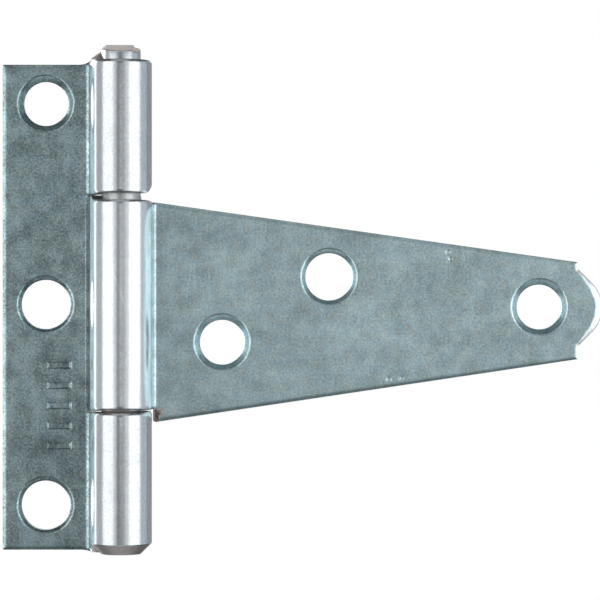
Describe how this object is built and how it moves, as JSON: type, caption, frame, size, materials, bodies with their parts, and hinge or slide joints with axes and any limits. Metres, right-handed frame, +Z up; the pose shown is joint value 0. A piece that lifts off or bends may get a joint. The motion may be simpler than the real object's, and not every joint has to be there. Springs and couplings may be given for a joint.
{
  "type": "t hinge",
  "caption": "Surface-mounted T hinge: a short jamb leaf and a long tapered strap leaf with countersunk screw holes, turning on a fixed pin.",
  "frame": {"origin": "centre of the jamb leaf's middle screw hole, on the back of the leaf", "axes": "+X from the jamb leaf towards the strap's nose, +Y out of the leaves' backs into the post, +Z up along the pin"},
  "size_m": [0.0952, 0.0098, 0.0803],
  "materials": {
    "zinc_leaf": "bright zinc plate, mottled on the flats and smooth on the barrel",
    "zinc_pin": "bright zinc plate, with dull sheared ends"
  },
  "bodies": {
    "jamb": {"jamb_leaf": "zinc_leaf", "hinge_pin": "zinc_pin"},
    "strap": {"strap_leaf": "zinc_leaf"}
  },
  "joints": [
    {"name": "strap_swing", "type": "hinge", "parent": "jamb", "child": "strap", "pos_m": [0.0122, -0.0049, 0], "axis": [0, 0, -1], "range_deg": [-90, 195]}
  ]
}
